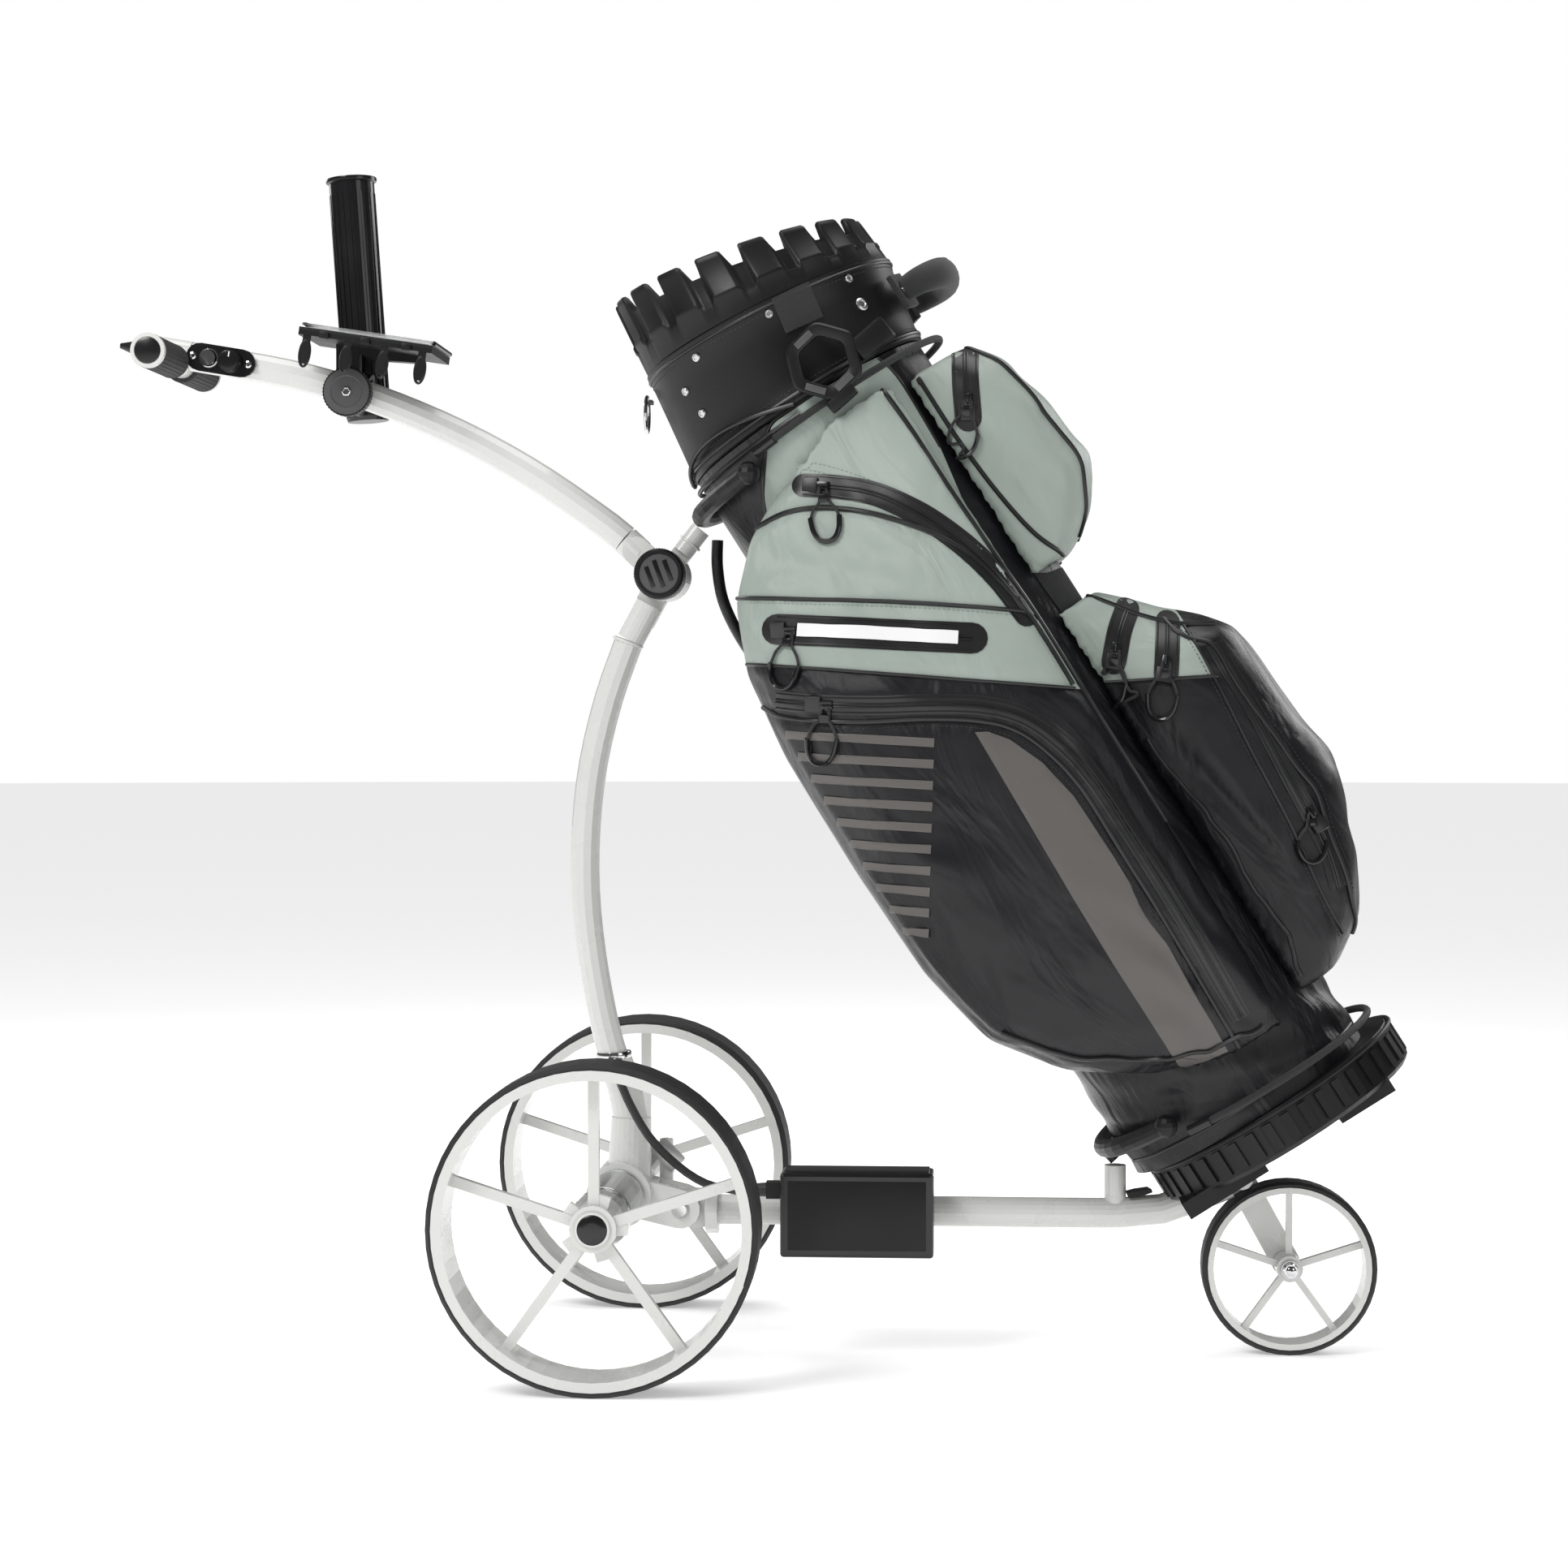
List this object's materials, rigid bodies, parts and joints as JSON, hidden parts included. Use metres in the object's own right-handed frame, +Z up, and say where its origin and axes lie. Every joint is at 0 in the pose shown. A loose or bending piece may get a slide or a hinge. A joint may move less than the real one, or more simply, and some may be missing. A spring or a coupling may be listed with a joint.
{
  "type": "golf trolley with cart bag",
  "caption": "Three-wheeled motor trolley with a folding handle, battery and two cradles, carrying a cart bag with club dividers, zip pockets and side grips.",
  "frame": {"origin": "on the floor under the middle of the overall length and width", "axes": "+X the way the trolley rolls, +Y its left side, +Z up"},
  "size_m": [1.1963, 0.492, 1.0966],
  "materials": {
    "frame_paint": "gloss white powder coat",
    "tyre_rubber": "smooth solid rubber",
    "chrome": "polished",
    "motor_silver": "fine satin",
    "black_plastic": "moulded, fine grain",
    "clear_plastic": "clear",
    "grip_foam": "ribbed foam",
    "cable_rubber": "smooth",
    "collar_leather": "embossed artificial leather",
    "black_fabric": "coated waterproof cloth",
    "sage_fabric": "coated waterproof cloth"
  },
  "bodies": {
    "chassis": {"axle_casting": "frame_paint", "motor_left": "motor_silver", "motor_right": "motor_silver", "drive_axle": "chrome", "main_tube": "frame_paint", "joint_housing": "frame_paint", "joint_bolt": "chrome", "upper_cradle": "black_plastic", "lower_cradle": "black_plastic", "fold_pivot_bolt": "chrome", "frame_block": "frame_paint", "lower_tube": "frame_paint", "bag_foot_pad": "black_plastic", "fork_blade": "frame_paint", "front_axle": "chrome", "battery_case": "black_plastic", "battery_clamps": "black_plastic", "battery_plug": "black_plastic", "motor_cable": "cable_rubber"},
    "wheel_left": {"tyre_left": "tyre_rubber", "rim_left": "frame_paint", "hub_cap_left": "black_plastic"},
    "wheel_right": {"tyre_right": "tyre_rubber", "rim_right": "frame_paint", "hub_cap_right": "black_plastic"},
    "wheel_front": {"tyre_front": "tyre_rubber", "rim_front": "frame_paint"},
    "handle": {"handle_tube": "frame_paint", "handle_joint": "frame_paint", "cross_bar": "frame_paint", "grip_left": "grip_foam", "grip_right": "grip_foam", "nose_cone": "black_plastic", "control_plate": "black_plastic", "accessory_clamp": "black_plastic", "scorecard_tray": "black_plastic"},
    "clamp_knob": {"hinge_knob": "black_plastic"},
    "dial": {"speed_dial": "black_plastic"},
    "button": {"power_button": "chrome"},
    "umbrella_holder": {"umbrella_tube": "black_plastic"},
    "card_lid": {"scorecard_lid": "clear_plastic"},
    "bag": {"bag_base": "black_plastic", "bag_body_lower": "black_fabric", "bag_body_middle": "black_fabric", "bag_body_upper": "black_fabric", "bag_collar": "collar_leather", "organiser_crown": "black_plastic", "divider_grid": "black_plastic", "side_pocket_left": "sage_fabric", "side_pocket_right": "sage_fabric", "front_top_pocket": "sage_fabric", "front_lower_pocket": "black_fabric", "side_handle_left": "black_plastic", "side_handle_right": "black_plastic", "carry_handle": "black_fabric", "shoulder_strap": "black_fabric", "towel_ring_mount": "chrome", "upper_bungee": "black_fabric", "lower_bungee": "black_fabric"},
    "towel_ring": {"towel_ring": "chrome"}
  },
  "joints": [
    {"name": "handle_fold", "type": "hinge", "parent": "chassis", "child": "handle", "pos_m": [-0.0864, 0, 0.7173], "axis": [0, -1, 0], "range_deg": [-20, 50]},
    {"name": "clamp_knob_turn", "type": "hinge", "parent": "chassis", "child": "clamp_knob", "pos_m": [-0.0864, -0.037, 0.7173], "axis": [0, -1, 0], "range_deg": [0, 360]},
    {"name": "wheel_left_spin", "type": "hinge", "parent": "chassis", "child": "wheel_left", "pos_m": [-0.126, 0.216, 0.144], "axis": [0, 1, 0], "continuous": true},
    {"name": "wheel_right_spin", "type": "hinge", "parent": "chassis", "child": "wheel_right", "pos_m": [-0.126, -0.216, 0.144], "axis": [0, 1, 0], "continuous": true},
    {"name": "wheel_front_spin", "type": "hinge", "parent": "chassis", "child": "wheel_front", "pos_m": [0.491, 0, 0.08], "axis": [0, 1, 0], "continuous": true},
    {"name": "speed_dial_turn", "type": "hinge", "parent": "handle", "child": "dial", "pos_m": [-0.48914, -0.024, 0.91685], "axis": [0, -1, 0], "range_deg": [0, 270]},
    {"name": "power_button_press", "type": "slide", "parent": "handle", "child": "button", "axis": [0, 1, 0], "range_m": [0, 0.0018], "stiffness_N_per_m": 400},
    {"name": "umbrella_tilt", "type": "hinge", "parent": "handle", "child": "umbrella_holder", "pos_m": [-0.3725, 0.0206, 0.885], "axis": [0, 1, 0], "range_deg": [-25, 25]},
    {"name": "scorecard_lid_open", "type": "hinge", "parent": "handle", "child": "card_lid", "pos_m": [-0.2881, -0.032, 0.9243], "axis": [0, 1, 0], "range_deg": [0, 100]},
    {"name": "bag_lift", "type": "slide", "parent": "chassis", "child": "bag", "axis": [0.3829, 0, 0.9238], "range_m": [0, 0.35]},
    {"name": "towel_ring_swing", "type": "hinge", "parent": "bag", "child": "towel_ring", "pos_m": [-0.102, 0, 0.8795], "axis": [0, 1, 0], "range_deg": [-10, 35]}
  ]
}
